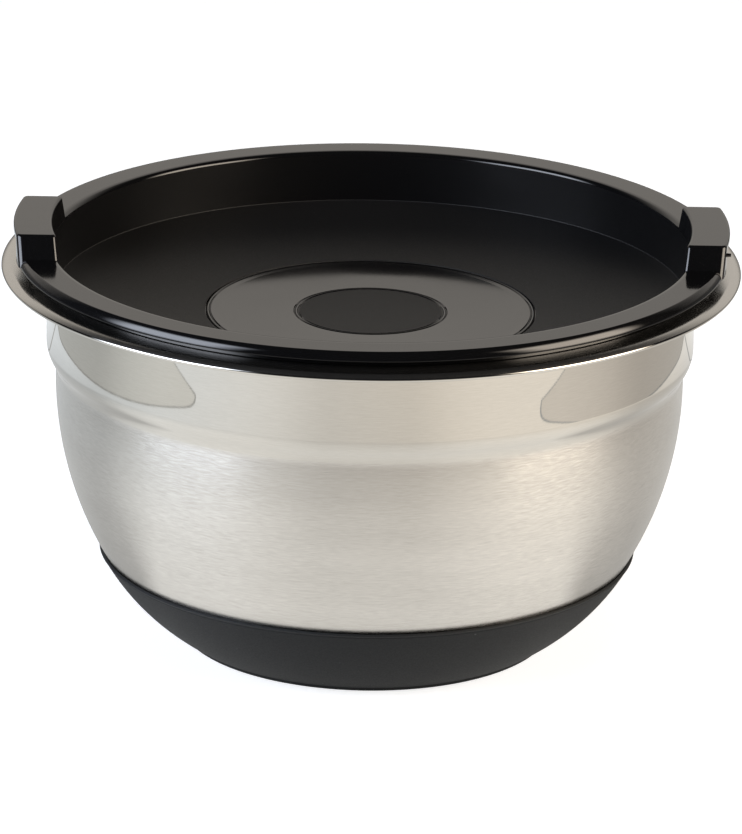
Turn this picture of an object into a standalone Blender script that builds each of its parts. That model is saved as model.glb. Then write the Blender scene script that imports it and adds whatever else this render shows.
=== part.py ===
"""Lidded mixing bowl: a drawn steel bowl in a soft boot, with a drop-in lid and its centre cap.

Units are metres, +Z is up, and the bowl stands on z = 0 with its axis on Z.
The finger arches of the lid lie on +X and -X.
"""

from math import asin, cos, pi, radians, sin, sqrt, tan

import bpy

MM = 0.001

# Bowl: one sheet of steel, drawn, with a rolled rim.
BOWL_HEIGHT = 144.5 * MM
BAND_RADIUS = 120.0 * MM
STEEL_WALL = 0.7 * MM
RIM_OVERHANG = 16.7 * MM
RIM_ROLL = 1.5 * MM
FLARE_RADIUS = 5.5 * MM
BAND_HEIGHT = 30.5 * MM
SHOULDER_HEIGHT = 11.0 * MM
SHOULDER_STEP = 3.45 * MM
STRAIGHT_HEIGHT = 3.5 * MM
BASE_RADIUS = 68.6 * MM
WALL_TURN = radians(32.3)
BASE_TURN = radians(59.35)

# Boot: soft cup that grips the lower bowl.
BOOT_HEIGHT = 33.5 * MM
BOOT_WALL = 1.0 * MM
BOOT_FLOOR = 2.0 * MM

# Lid: one thin moulding, a recessed well inside a flange that rests on the rim.
LID_WALL = 1.6 * MM
FLANGE_HEIGHT = 6.2 * MM
FLANGE_OVERHANG = 12.0 * MM
FLANGE_ROUND = 3.0 * MM
FLANGE_TURN = radians(70.0)
FLANGE_FILLET = 2.0 * MM
WELL_DEPTH = 19.4 * MM
WELL_DRAFT = radians(2.0)
WELL_FILLET = 1.5 * MM
DISH_DEPTH = 8.4 * MM
DISH_POWER = 2.5

# Finger arches: raised lengths of the flange, open on their outer side.
ARCH_RISE = 8.4 * MM
ARCH_LENGTH = 49.0 * MM
ARCH_ROOF = 2.2 * MM
ARCH_END_WALL = 2.0 * MM
ARCH_EDGE = 1.2 * MM
ARCH_INSET = 0.4 * MM

# Centre cap: pushes into the round opening of the lid's floor.
CAP_RADIUS = 61.0 * MM
CAP_WALL = 1.6 * MM
CAP_SKIRT = 2.5 * MM
LEDGE_WIDTH = 3.5 * MM
PAD_RADIUS = 28.3 * MM
PAD_GROOVE_WIDTH = 1.6 * MM
PAD_GROOVE_DEPTH = 0.5 * MM

# Clearances between neighbouring pieces.
SEAT_GAP = 0.3 * MM
LID_FIT = 0.35 * MM
CAP_FIT = 0.3 * MM

# Facets round a full turn, and steps along each kind of arc.
TURN_STEPS = 60
WALL_STEPS = 9
SMALL_STEPS = 3
ROLL_STEPS = 9
DISH_STEPS = 4
MERGE_DISTANCE = 0.00001
SMOOTH_ANGLE = radians(30.0)

# Heights and radii that follow from the sizes above.
BOWL_BOTTOM = BOOT_FLOOR + SEAT_GAP
SHOULDER_TOP = BOWL_HEIGHT - BAND_HEIGHT
SHOULDER_FOOT = SHOULDER_TOP - SHOULDER_HEIGHT
WALL_TOP = SHOULDER_FOOT - STRAIGHT_HEIGHT
BODY_RADIUS = BAND_RADIUS - SHOULDER_STEP
RIM_RADIUS = BAND_RADIUS + RIM_OVERHANG
FLARE_START = BOWL_HEIGHT - FLARE_RADIUS

FLANGE_FOOT = BOWL_HEIGHT + SEAT_GAP
FLANGE_TOP = FLANGE_FOOT + FLANGE_HEIGHT
FLANGE_RADIUS = BAND_RADIUS + FLANGE_OVERHANG
WELL_FLOOR = FLANGE_TOP - WELL_DEPTH
WELL_AT_FLARE = BAND_RADIUS - STEEL_WALL - LID_FIT - LID_WALL
ARCH_TOP = FLANGE_TOP + ARCH_RISE
OPENING_RADIUS = CAP_RADIUS + CAP_FIT
LEDGE_RADIUS = OPENING_RADIUS - LEDGE_WIDTH


def solve_wall_arcs():
    """Radii of the two tangent arcs that lead from the upright wall to the base edge."""
    drop = WALL_TOP - BOWL_BOTTOM
    inset = BODY_RADIUS - BASE_RADIUS
    a, b = 1.0 - cos(WALL_TURN), cos(WALL_TURN) - cos(BASE_TURN)
    c, d = sin(WALL_TURN), sin(BASE_TURN) - sin(WALL_TURN)
    determinant = a * d - b * c
    return (inset * d - b * drop) / determinant, (a * drop - c * inset) / determinant


WALL_ARC, BASE_ARC = solve_wall_arcs()
WALL_CENTRE = (BODY_RADIUS - WALL_ARC, WALL_TOP)
BASE_CENTRE = (
    WALL_CENTRE[0] + (WALL_ARC - BASE_ARC) * cos(WALL_TURN),
    WALL_CENTRE[1] - (WALL_ARC - BASE_ARC) * sin(WALL_TURN),
)


def arc(centre, radius, start, end, steps):
    """Points (r, z) on a circular arc, angles in degrees from +r towards +z."""
    angles = [radians(start + (end - start) * i / steps) for i in range(steps + 1)]
    return [(centre[0] + radius * cos(t), centre[1] + radius * sin(t)) for t in angles]


def wall_turn_at(height, offset):
    """How far the bowl's wall has turned from upright at a height, on a skin at this offset."""
    upper_drop = WALL_CENTRE[1] - height
    if upper_drop <= (WALL_ARC + offset) * sin(WALL_TURN):
        return asin(upper_drop / (WALL_ARC + offset))
    return asin((BASE_CENTRE[1] - height) / (BASE_ARC + offset))


def wall_point(turn, offset):
    """Point of the curved wall where it has turned this far, moved out by the offset."""
    centre, radius = (WALL_CENTRE, WALL_ARC) if turn <= WALL_TURN else (BASE_CENTRE, BASE_ARC)
    return centre[0] + (radius + offset) * cos(turn), centre[1] - (radius + offset) * sin(turn)


def curved_wall(offset, top, bottom):
    """Wall outline from a top height down to a bottom height."""
    first, last = wall_turn_at(top, offset), wall_turn_at(bottom, offset)
    turns = [first + (last - first) * i / WALL_STEPS for i in range(WALL_STEPS + 1)]
    return [wall_point(turn, offset) for turn in turns]


def shoulder(offset):
    """Double curve that steps the upper band in to the body, top to bottom."""
    half_turn = 2.0 * asin(SHOULDER_STEP / sqrt(SHOULDER_STEP ** 2 + SHOULDER_HEIGHT ** 2))
    radius = SHOULDER_HEIGHT / (2.0 * sin(half_turn))
    turn = half_turn * 180.0 / pi
    upper = arc((BAND_RADIUS - radius, SHOULDER_TOP), radius + offset, 0.0, -turn, SMALL_STEPS)
    lower = arc((BODY_RADIUS + radius, SHOULDER_FOOT), radius - offset, 180.0 - turn, 180.0, SMALL_STEPS)
    return upper + lower[1:]


def bowl_skin(offset, bottom):
    """One face of the steel sheet, from the top of the upper band down to the floor."""
    return shoulder(offset) + curved_wall(offset, WALL_TOP, bottom)


def bowl_outline():
    flare_centre = (BAND_RADIUS - STEEL_WALL + FLARE_RADIUS, FLARE_START)
    roll_centre = (RIM_RADIUS - RIM_ROLL, BOWL_HEIGHT - RIM_ROLL)
    roll_end = -180.0 - asin((RIM_ROLL - STEEL_WALL) / RIM_ROLL) * 180.0 / pi
    inside = bowl_skin(-STEEL_WALL, BOWL_BOTTOM + STEEL_WALL)
    points = [(0.0, BOWL_BOTTOM + STEEL_WALL)]
    points += inside[::-1]
    points += arc(flare_centre, FLARE_RADIUS, 180.0, 90.0, SMALL_STEPS)
    points += arc(roll_centre, RIM_ROLL, 90.0, roll_end, ROLL_STEPS)
    points += arc(flare_centre, FLARE_RADIUS - STEEL_WALL, 90.0, 180.0, SMALL_STEPS)
    points += bowl_skin(0.0, BOWL_BOTTOM)
    points.append((0.0, BOWL_BOTTOM))
    return points


def boot_outline():
    outer = SEAT_GAP + BOOT_WALL
    points = [(0.0, BOOT_FLOOR)]
    points += curved_wall(SEAT_GAP, BOOT_HEIGHT, BOOT_FLOOR)[::-1]
    points += curved_wall(outer, BOOT_HEIGHT, 0.0)
    points.append((0.0, 0.0))
    return points


def well_radius(height):
    """Inner radius of the lid's drafted well wall."""
    return WELL_AT_FLARE + (height - FLARE_START) * tan(WELL_DRAFT)


def dish_height(radius):
    """Upper face of the lid's floor and of the cap, one shallow dish."""
    return WELL_FLOOR - DISH_DEPTH * (1.0 - (radius / well_radius(WELL_FLOOR)) ** DISH_POWER)


def dish(inner, outer, drop):
    """Dish outline from an inner to an outer radius, lowered by a drop."""
    radii = [inner + (outer - inner) * i / DISH_STEPS for i in range(DISH_STEPS + 1)]
    return [(radius, dish_height(radius) - drop) for radius in radii]


def ledge_height():
    """Upper face of the ledge that carries the cap."""
    return dish_height(OPENING_RADIUS) - CAP_WALL - SEAT_GAP


def lid_outline():
    well_foot = WELL_FLOOR + WELL_FILLET
    fillet_centre = (well_radius(FLANGE_TOP - FLANGE_FILLET) + FLANGE_FILLET, FLANGE_TOP - FLANGE_FILLET)
    round_centre = (FLANGE_RADIUS - FLANGE_ROUND * sin(FLANGE_TURN), FLANGE_TOP - FLANGE_ROUND)
    round_end = 90.0 - FLANGE_TURN * 180.0 / pi
    skirt_inner = round_centre[0] + (FLANGE_ROUND - LID_WALL) * sin(FLANGE_TURN)
    floor_edge = well_radius(well_foot) - WELL_FILLET
    ledge = ledge_height()
    under_ledge = ledge - LID_WALL
    collar = OPENING_RADIUS + LID_WALL

    points = dish(OPENING_RADIUS, floor_edge, 0.0)
    points.append((well_radius(well_foot), well_foot))
    points += arc(fillet_centre, FLANGE_FILLET, 180.0, 90.0, SMALL_STEPS)
    points += arc(round_centre, FLANGE_ROUND, 90.0, round_end, SMALL_STEPS)
    points += [(FLANGE_RADIUS, FLANGE_FOOT), (skirt_inner, FLANGE_FOOT)]
    points += arc(round_centre, FLANGE_ROUND - LID_WALL, round_end, 90.0, SMALL_STEPS)
    points += arc(fillet_centre, FLANGE_FILLET - LID_WALL, 90.0, 180.0, SMALL_STEPS)
    points.append((well_radius(well_foot) + LID_WALL, well_foot))
    points += dish(collar, floor_edge, LID_WALL)[::-1]
    points += [(collar, under_ledge), (LEDGE_RADIUS, under_ledge)]
    points += [(LEDGE_RADIUS, ledge), (OPENING_RADIUS, ledge)]
    return points


def arch_outline():
    """Full ring whose two short lengths become the finger arches, rooted in the lid's wall."""
    root = FLANGE_FOOT + SEAT_GAP
    outer = FLANGE_RADIUS - ARCH_INSET
    inner_foot = well_radius(root) + ARCH_INSET
    inner_top = well_radius(ARCH_TOP) + ARCH_INSET
    return [(inner_top, ARCH_TOP), (outer, ARCH_TOP), (outer, root), (inner_foot, root)]


def finger_gap_outline():
    """Ring of air under the arches, open to the outside."""
    roof = ARCH_TOP - ARCH_ROOF
    foot = FLANGE_FOOT - FLANGE_HEIGHT
    outside = RIM_RADIUS + RIM_OVERHANG
    inner = well_radius(ARCH_TOP) + LID_WALL
    return [(inner, roof), (outside, roof), (outside, foot), (inner, foot)]


def cap_outline():
    skirt_outer = LEDGE_RADIUS - CAP_FIT
    skirt_inner = skirt_outer - CAP_WALL
    skirt_foot = ledge_height() - LID_WALL - CAP_SKIRT
    groove_inner = PAD_RADIUS - PAD_GROOVE_WIDTH
    groove_middle = PAD_RADIUS - PAD_GROOVE_WIDTH / 2.0
    points = [(0.0, dish_height(0.0))]
    points += dish(groove_inner / DISH_STEPS, groove_inner, 0.0)
    points.append((groove_middle, dish_height(groove_middle) - PAD_GROOVE_DEPTH))
    points += dish(PAD_RADIUS, CAP_RADIUS, 0.0)
    points += [(CAP_RADIUS, ledge_height() + SEAT_GAP), (skirt_outer, ledge_height() + SEAT_GAP)]
    points += [(skirt_outer, skirt_foot), (skirt_inner, skirt_foot)]
    points += dish(PAD_RADIUS, skirt_inner, CAP_WALL)[::-1]
    points.append((0.0, dish_height(0.0) - CAP_WALL))
    return points


def new_collection(name):
    collection = bpy.data.collections.new(name)
    bpy.context.scene.collection.children.link(collection)
    return collection


def turned(name, outline, seat, collection, closed):
    """Turned piece: an outline of (r, z) points swept once round Z, with its origin at height seat."""
    mesh = bpy.data.meshes.new(name)
    count = len(outline)
    links = [(i, i + 1) for i in range(count - 1)]
    if closed:
        links.append((count - 1, 0))
    mesh.from_pydata([(r, 0.0, z - seat) for r, z in outline], links, [])
    piece = bpy.data.objects.new(name, mesh)
    piece.location = (0.0, 0.0, seat)
    collection.objects.link(piece)
    screw = piece.modifiers.new("turn", "SCREW")
    screw.axis = "Z"
    screw.angle = 2.0 * pi
    screw.steps = TURN_STEPS
    screw.render_steps = TURN_STEPS
    screw.use_merge_vertices = True
    screw.merge_threshold = MERGE_DISTANCE
    screw.use_smooth_shade = True
    return piece


def slab(name, half_width, collection):
    """Box across the whole lid, this wide along Y, used to pick out the arches."""
    bpy.ops.mesh.primitive_cube_add(size=1.0, location=(0.0, 0.0, FLANGE_TOP))
    piece = bpy.context.object
    piece.name = name
    piece.scale = (4.0 * RIM_RADIUS, 2.0 * half_width, 2.0 * BOWL_HEIGHT)
    for owner in list(piece.users_collection):
        owner.objects.unlink(piece)
    collection.objects.link(piece)
    return piece


def hide_tool(piece):
    piece.hide_render = True
    piece.display_type = "WIRE"


def boolean(piece, name, operation, tool):
    modifier = piece.modifiers.new(name, "BOOLEAN")
    modifier.operation = operation
    modifier.solver = "EXACT"
    modifier.object = tool
    return modifier


def smooth_by_angle(piece):
    """Round faces shade smooth and corners stay crisp."""
    piece.data.shade_smooth()
    piece.data.set_sharp_from_angle(angle=SMOOTH_ANGLE)


def finish(name, color, roughness, metallic):
    material = bpy.data.materials.new(name)
    material.use_nodes = True
    shader = material.node_tree.nodes["Principled BSDF"]
    shader.inputs["Base Color"].default_value = (*color, 1.0)
    shader.inputs["Roughness"].default_value = roughness
    shader.inputs["Metallic"].default_value = metallic
    return material


def build_lid(parts, tools):
    """Turned shell, plus two arches cut from a ring, minus the finger gaps under them.

    The two rings are turned by part of a facet, so that no edge of one lies on an edge of another.
    """
    lid = turned("lid", lid_outline(), BOWL_HEIGHT, parts, closed=True)
    arches = turned("arch_ring", arch_outline(), BOWL_HEIGHT, tools, closed=True)
    arches.rotation_euler.z = pi / TURN_STEPS
    boolean(arches, "arch_span", "INTERSECT", slab("arch_span", ARCH_LENGTH / 2.0, tools))
    edge = arches.modifiers.new("arch_edges", "BEVEL")
    edge.width = min(ARCH_EDGE, ARCH_ROOF / 2.0)
    edge.segments = 2
    edge.limit_method = "ANGLE"
    gap_half = ARCH_LENGTH / 2.0 - ARCH_END_WALL
    gaps = turned("finger_gap_ring", finger_gap_outline(), BOWL_HEIGHT, tools, closed=True)
    gaps.rotation_euler.z = pi / TURN_STEPS / 2.0
    boolean(gaps, "finger_span", "INTERSECT", slab("finger_span", gap_half, tools))
    boolean(lid, "add_arches", "UNION", arches)
    boolean(lid, "cut_finger_gaps", "DIFFERENCE", gaps)
    return lid


def build():
    for old in list(bpy.data.objects):
        bpy.data.objects.remove(old, do_unlink=True)
    parts = new_collection("lidded_mixing_bowl")
    tools = new_collection("cutters")

    bowl = turned("bowl_shell", bowl_outline(), 0.0, parts, closed=False)
    boot = turned("base_boot", boot_outline(), 0.0, parts, closed=False)
    lid = build_lid(parts, tools)
    cap = turned("centre_cap", cap_outline(), ledge_height(), parts, closed=False)

    boot.parent = bowl
    lid.parent = bowl
    cap.parent = lid
    cap.location.z -= lid.location.z

    bowl.data.materials.append(finish("brushed_steel", (0.62, 0.60, 0.57), 0.32, 1.0))
    boot.data.materials.append(finish("slate_silicone", (0.022, 0.026, 0.030), 0.65, 0.0))
    lid.data.materials.append(finish("black_lid_plastic", (0.006, 0.006, 0.006), 0.12, 0.0))
    cap.data.materials.append(finish("black_cap_plastic", (0.008, 0.008, 0.008), 0.14, 0.0))
    for piece in (bowl, boot, lid, cap):
        smooth_by_angle(piece)
    for tool in tools.objects:
        hide_tool(tool)


build()
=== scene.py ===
# %% [markdown]
# # A lidded mixing bowl
#
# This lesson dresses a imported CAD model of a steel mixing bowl. The bowl stands in a soft
# boot, and a black lid with two finger arches and a round centre cap closes it.
# The frame holds the bodies that move: the bowl, the lid that lifts out of it, and the cap
# that lifts out of the lid. Each piece made here rides on one of those bodies.

# %% Load the frame
from math import asin, cos, degrees, pi, radians, sin, sqrt, tan

import bmesh
import bpy
from mathutils import Matrix, Vector


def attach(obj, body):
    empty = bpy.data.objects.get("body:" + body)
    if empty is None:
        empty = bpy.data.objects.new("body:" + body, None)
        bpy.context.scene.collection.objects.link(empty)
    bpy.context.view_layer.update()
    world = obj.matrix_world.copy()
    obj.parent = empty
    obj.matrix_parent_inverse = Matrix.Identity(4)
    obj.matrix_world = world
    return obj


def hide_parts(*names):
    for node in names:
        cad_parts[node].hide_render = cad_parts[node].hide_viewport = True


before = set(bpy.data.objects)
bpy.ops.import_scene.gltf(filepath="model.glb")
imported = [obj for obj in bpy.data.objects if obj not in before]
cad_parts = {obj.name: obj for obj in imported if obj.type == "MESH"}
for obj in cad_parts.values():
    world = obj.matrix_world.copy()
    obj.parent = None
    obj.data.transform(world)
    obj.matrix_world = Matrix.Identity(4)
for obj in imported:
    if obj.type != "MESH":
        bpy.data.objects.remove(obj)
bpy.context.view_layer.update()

MM = 0.001

# %% [markdown]
# ## Helpers for finishes
#
# Colours are written as the sRGB hex values that a paint picker shows, but a shader works in
# linear light, so one function converts them. A second function adds a node, sets its
# properties and fills its inputs, either with a constant or with another node's output. The
# kinds of node that are used most have a short function of their own. The last two functions
# start a material and link its pattern to the shader.


# %% Colour and node helpers
def linear(hex_code):
    """Linear RGBA of an sRGB hex colour such as "8a8f94"."""
    channels = [int(hex_code[i:i + 2], 16) / 255.0 for i in (0, 2, 4)]
    return [c / 12.92 if c <= 0.04045 else ((c + 0.055) / 1.055) ** 2.4 for c in channels] + [1.0]


def add(tree, kind, inputs=None, **settings):
    """Add one node; an input is a constant, or an output socket to link from."""
    made = tree.nodes.new("ShaderNode" + kind)
    for name, value in settings.items():
        setattr(made, name, value)
    for socket, value in (inputs or {}).items():
        if isinstance(value, bpy.types.NodeSocket):
            tree.links.new(value, made.inputs[socket])
        else:
            made.inputs[socket].default_value = value
    return made


def scalar_math(tree, operation, *values):
    """Output of a Math node."""
    return add(tree, "Math", dict(enumerate(values)), operation=operation).outputs[0]


def vector_math(tree, operation, *values):
    """Output of a Vector Math node: a number for a length or a dot product, else a vector."""
    made = add(tree, "VectorMath", dict(enumerate(values)), operation=operation)
    return made.outputs["Value" if operation in ("LENGTH", "DOT_PRODUCT") else "Vector"]


def split(tree, place):
    """The outputs X, Y and Z of a vector."""
    return add(tree, "SeparateXYZ", {"Vector": place}).outputs


def ramp(tree, value, start, end, low=0.0, high=1.0, curve="LINEAR"):
    """Number that runs from low to high while a value runs from its start to its end."""
    return add(tree, "MapRange", {0: value, 1: start, 2: end, 3: low, 4: high},
               interpolation_type=curve).outputs[0]


def blend(tree, share, first, second):
    """Colour from the first at share 0 to the second at 1, each a hex colour or an output."""
    a, b = [linear(color) if isinstance(color, str) else color for color in (first, second)]
    return add(tree, "Mix", {"Factor": share, "A": a, "B": b}, data_type="RGBA").outputs["Result"]


def noise(tree, place, size, detail, roughness=0.5):
    """Cloudy pattern with lumps of a size in the units of the coordinates."""
    return add(tree, "TexNoise", {"Vector": place, "Scale": 1.0 / size, "Detail": detail,
                                  "Roughness": roughness}).outputs["Fac"]


def new_finish(name, constants):
    """Material with one Principled shader, its constant values set on its own sockets."""
    made = bpy.data.materials.new(name)
    made.use_nodes = True
    shader = made.node_tree.nodes["Principled BSDF"]
    for socket, value in constants.items():
        shader.inputs[socket].default_value = value
    return made, made.node_tree, shader


def feed(tree, shader, color, rough, height, depth):
    """Link a finish's colour, its roughness and its bumps of a depth in metres to its shader."""
    bump = add(tree, "Bump", {"Height": height, "Strength": 1.0, "Distance": depth}).outputs[0]
    for socket, value in (("Base Color", color), ("Roughness", rough), ("Normal", bump)):
        tree.links.new(value, shader.inputs[socket])


print("white is", linear("ffffff")[:3])

# %% [markdown]
# ## Stainless steel
#
# The bowl is one sheet of stainless steel with three finishes. Its upper band is buffed, so it
# mirrors the table clearly. The top of the lip was ground and only lightly buffed, so its
# mirror image is soft. Below the shoulder and inside, an abrasive belt ran round the bowl and
# left short strokes along the circumference. Strokes scatter light across their own direction,
# so a highlight there is a tall upright smear. That is what an anisotropic shader does, with
# its tangent taken round the bowl's axis. The strokes themselves are a noise that is long
# round the bowl and very short up the wall.


# %% Steel finishes
STROKE_LENGTH = 4.5 * MM
# Real strokes are under 0.1 mm wide. They are drawn at about one pixel so that they show.
STROKE_WIDTH = 0.40 * MM
CLOUD_LENGTH = 90.0 * MM
CLOUD_WIDTH = 14.0 * MM
CLOUD_SHARE = 0.3
# Nearly all of a noise lies between the first two values, and nearly all of strokes with
# clouds between the last two.
NOISE_LOW = 0.3
NOISE_HIGH = 0.7
TONE_LOW = 0.4
TONE_HIGH = 0.9
# A quarter turn, so that highlights spread across the strokes.
QUARTER_TURN = 0.25


def around_the_bowl(tree, along, across):
    """Coordinates that stretch a pattern round the axis: long along it, short up the wall."""
    place = add(tree, "TexCoord").outputs["Object"]
    axes = split(tree, place)
    flat = vector_math(tree, "MULTIPLY", place, (1.0, 1.0, 0.0))
    meridian = scalar_math(tree, "ADD", axes["Z"], vector_math(tree, "LENGTH", flat))
    joined = add(tree, "CombineXYZ", {"X": axes["X"], "Y": axes["Y"], "Z": meridian}).outputs[0]
    return vector_math(tree, "MULTIPLY", joined, (1.0 / along, 1.0 / along, 1.0 / across))


def steel(name, tones, roughness, stretch, depth):
    """Stainless steel: two tones, a range of roughness, and strokes of a depth in metres."""
    made, tree, shader = new_finish(name, {
        "Metallic": 1.0, "Anisotropic": stretch, "Anisotropic Rotation": QUARTER_TURN})
    stroke_place = around_the_bowl(tree, STROKE_LENGTH, STROKE_WIDTH)
    cloud_place = around_the_bowl(tree, CLOUD_LENGTH, CLOUD_WIDTH)
    strokes = noise(tree, stroke_place, size=1.0, detail=3.0, roughness=0.65)
    clouds = noise(tree, cloud_place, size=1.0, detail=2.0)
    mixed = scalar_math(tree, "MULTIPLY_ADD", clouds, CLOUD_SHARE, strokes)
    color = blend(tree, ramp(tree, mixed, TONE_LOW, TONE_HIGH), *tones)
    rough = ramp(tree, strokes, NOISE_LOW, NOISE_HIGH, *roughness)
    feed(tree, shader, color, rough, strokes, depth)
    tangent = add(tree, "Tangent", direction_type="RADIAL", axis="Z")
    tree.links.new(tangent.outputs[0], shader.inputs["Tangent"])
    return made


# Buffed steel: a soft mirror with faint lines left in it.
buffed_steel = steel("buffed_stainless_steel", tones=("c6c4bf", "cdcbc6"),
                     roughness=(0.012, 0.025), stretch=0.3, depth=0.0003 * MM)
# Belt-brushed steel: satin, with a grain that runs round the bowl.
brushed_steel = steel("belt_brushed_stainless_steel", tones=("c0beba", "d6d4d0"),
                      roughness=(0.20, 0.27), stretch=0.88, depth=0.012 * MM)
# Satin steel: the lip was ground and only lightly buffed, so what it mirrors is soft.
satin_steel = steel("satin_stainless_steel", tones=("c6c4c0", "cbc9c5"),
                    roughness=(0.21, 0.24), stretch=0.3, depth=0.0002 * MM)
print("steel finishes:", buffed_steel.name, brushed_steel.name, satin_steel.name)

# %% [markdown]
# ## Black polypropylene
#
# Lid and cap are moulded in black polypropylene. Where the steel mould was polished the
# plastic comes out glossy, with the slow waves of a thin moulding. The upright wall of the
# well slid along the mould as it was pushed out, which left it satin. Where the mould was
# spark eroded, on the lid's floor and on the cap's press pad, the plastic has a fine even grain
# and looks grey at a low angle. All three are the same plastic with another surface.

# %% Plastic finishes
PLASTIC_IOR = 1.49
MOULDING_WAVE = 16.0 * MM
WAVE_DEPTH = 0.02 * MM
HAZE_SIZE = 60.0 * MM
# Spark-eroded grain is about 0.1 mm. It is drawn a few times coarser so that it shows.
SPARK_GRAIN = 0.45 * MM
SPARK_DEPTH = 0.03 * MM
SPARK_ROUGHNESS = (0.50, 0.60)
# Specks of dust lie this far apart. Their edge and core are shares of that spacing.
DUST_SPACING = 9.0 * MM
DUST_EDGE = 0.035
DUST_CORE = 0.02


def dust(tree, place, edge):
    """One on small specks and zero between them; an edge is a share of their spacing."""
    specks = add(tree, "TexVoronoi", {"Vector": place, "Scale": 1.0 / DUST_SPACING})
    return ramp(tree, specks.outputs["Distance"], edge, DUST_CORE)


def smooth_polypropylene(name, roughness, shine):
    """Black polypropylene from a polished mould: a range of roughness and a specular level."""
    made, tree, shader = new_finish(name, {"IOR": PLASTIC_IOR, "Specular IOR Level": shine})
    place = add(tree, "TexCoord").outputs["Object"]
    waves = noise(tree, place, MOULDING_WAVE, detail=1.0)
    haze = noise(tree, place, HAZE_SIZE, detail=4.0)
    color = blend(tree, haze, "0a0a0b", "0f0f10")
    rough = ramp(tree, haze, NOISE_LOW, NOISE_HIGH, *roughness)
    feed(tree, shader, color, rough, waves, WAVE_DEPTH)
    return made


def grained_polypropylene():
    """Black polypropylene from a spark-eroded mould, with a few specks of dust."""
    made, tree, shader = new_finish("spark_grained_black_polypropylene", {"IOR": PLASTIC_IOR})
    place = add(tree, "TexCoord").outputs["Object"]
    grain = noise(tree, place, SPARK_GRAIN, detail=2.0)
    color = blend(tree, dust(tree, place, DUST_EDGE), "0a0a0b", "3a3a39")
    rough = ramp(tree, grain, NOISE_LOW, NOISE_HIGH, *SPARK_ROUGHNESS)
    feed(tree, shader, color, rough, grain, SPARK_DEPTH)
    return made


# Polished polypropylene: a black gloss that mirrors the room, bent by slow waves.
gloss_black = smooth_polypropylene(
    "polished_black_polypropylene", roughness=(0.06, 0.11), shine=0.5)
# Satin polypropylene: black with a soft glow and no clear mirror image.
satin_black = smooth_polypropylene(
    "satin_black_polypropylene", roughness=(0.28, 0.34), shine=0.2)
# Grained polypropylene: matte black that turns grey at a low angle.
grained_black = grained_polypropylene()
print("plastic finishes:", gloss_black.name, satin_black.name, grained_black.name)

# %% [markdown]
# ## Slate silicone
#
# The boot is moulded silicone rubber. It is matte and a little dusty, and its dark slate grey
# turns paler where it is seen edge on. A wide roughness with a light sheen gives that edge, and
# a fine grain with scattered specks keeps the surface from looking painted.

# %% Silicone finish
RUBBER_GRAIN = 0.6 * MM
RUBBER_DEPTH = 0.02 * MM
RUBBER_CLOUD = 25.0 * MM
RUBBER_ROUGHNESS = (0.56, 0.70)
RUBBER_DUST_EDGE = 0.05


def slate_silicone():
    """Moulded silicone rubber with a fine grain, slow clouds and a few specks of dust."""
    made, tree, shader = new_finish("matte_slate_silicone", {
        "IOR": 1.41, "Specular IOR Level": 0.32, "Sheen Weight": 0.025, "Sheen Roughness": 0.5,
        "Sheen Tint": linear("aeb8c2")})
    place = add(tree, "TexCoord").outputs["Object"]
    grain = noise(tree, place, RUBBER_GRAIN, detail=3.0)
    clouds = noise(tree, place, RUBBER_CLOUD, detail=3.0)
    plain = blend(tree, clouds, "141618", "1a1c1e")
    color = blend(tree, dust(tree, place, RUBBER_DUST_EDGE), plain, "4a4d4f")
    rough = ramp(tree, grain, NOISE_LOW, NOISE_HIGH, *RUBBER_ROUGHNESS)
    feed(tree, shader, color, rough, grain, RUBBER_DEPTH)
    return made


# Slate silicone: a matte dark grey with a paler edge where it turns away.
silicone = slate_silicone()
print("rubber finish:", silicone.name)

# %% [markdown]
# ## Turning an outline
#
# Bowl, boot, lid and cap are round, so each begins as an outline of radius and height that is
# spun once about the axis, as a lathe or a spinning chuck would make it. Outlines are written
# in millimetres. Round stretches come from one arc function, so no list of points is stored.

# %% Outline helpers
SEGMENTS = 240
# A straight run that is longer than LONG_RUN gets a support point near each end, in millimetres.
SUPPORT = 0.25
LONG_RUN = 4.0 * SUPPORT
MERGE = 0.001 * MM
CREASE = radians(32.0)


def arc(centre, radius, start, end, steps=10):
    """Points (radius, height) on an arc; angles in degrees from outward towards up."""
    angles = [radians(start + (end - start) * i / steps) for i in range(steps + 1)]
    return [(centre[0] + radius * cos(t), centre[1] + radius * sin(t)) for t in angles]


def keep_mesh(name, shape):
    """Turn a bmesh into a named object with smooth faces and crisp corners."""
    bmesh.ops.recalc_face_normals(shape, faces=shape.faces)
    mesh = bpy.data.meshes.new(name)
    shape.to_mesh(mesh)
    shape.free()
    mesh.shade_smooth()
    mesh.set_sharp_from_angle(angle=CREASE)
    piece = bpy.data.objects.new(name, mesh)
    bpy.context.scene.collection.objects.link(piece)
    return piece


def supported(outline, closed):
    """Add a point near each end of a long straight run, so that smooth shading leaves it flat."""
    points = []
    ends = outline[1:] + (outline[:1] if closed else [])
    for (r, z), (next_r, next_z) in zip(outline, ends):
        length = sqrt((next_r - r) ** 2 + (next_z - z) ** 2)
        points.append((r, z))
        if length > LONG_RUN:
            near = SUPPORT / length
            points += [(r + (next_r - r) * k, z + (next_z - z) * k) for k in (near, 1.0 - near)]
    return points if closed else points + outline[-1:]


def turn(name, outline, closed=False):
    """Spin an outline in millimetres once round the axis."""
    shape = bmesh.new()
    points = [shape.verts.new((r * MM, 0.0, z * MM)) for r, z in supported(outline, closed)]
    pairs = list(zip(points, points[1:]))
    if closed:
        pairs.append((points[-1], points[0]))
    edges = [shape.edges.new(pair) for pair in pairs]
    bmesh.ops.spin(shape, geom=points + edges, axis=(0.0, 0.0, 1.0), angle=2.0 * pi, steps=SEGMENTS)
    bmesh.ops.remove_doubles(shape, verts=shape.verts, dist=MERGE)
    return keep_mesh(name, shape)


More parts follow.
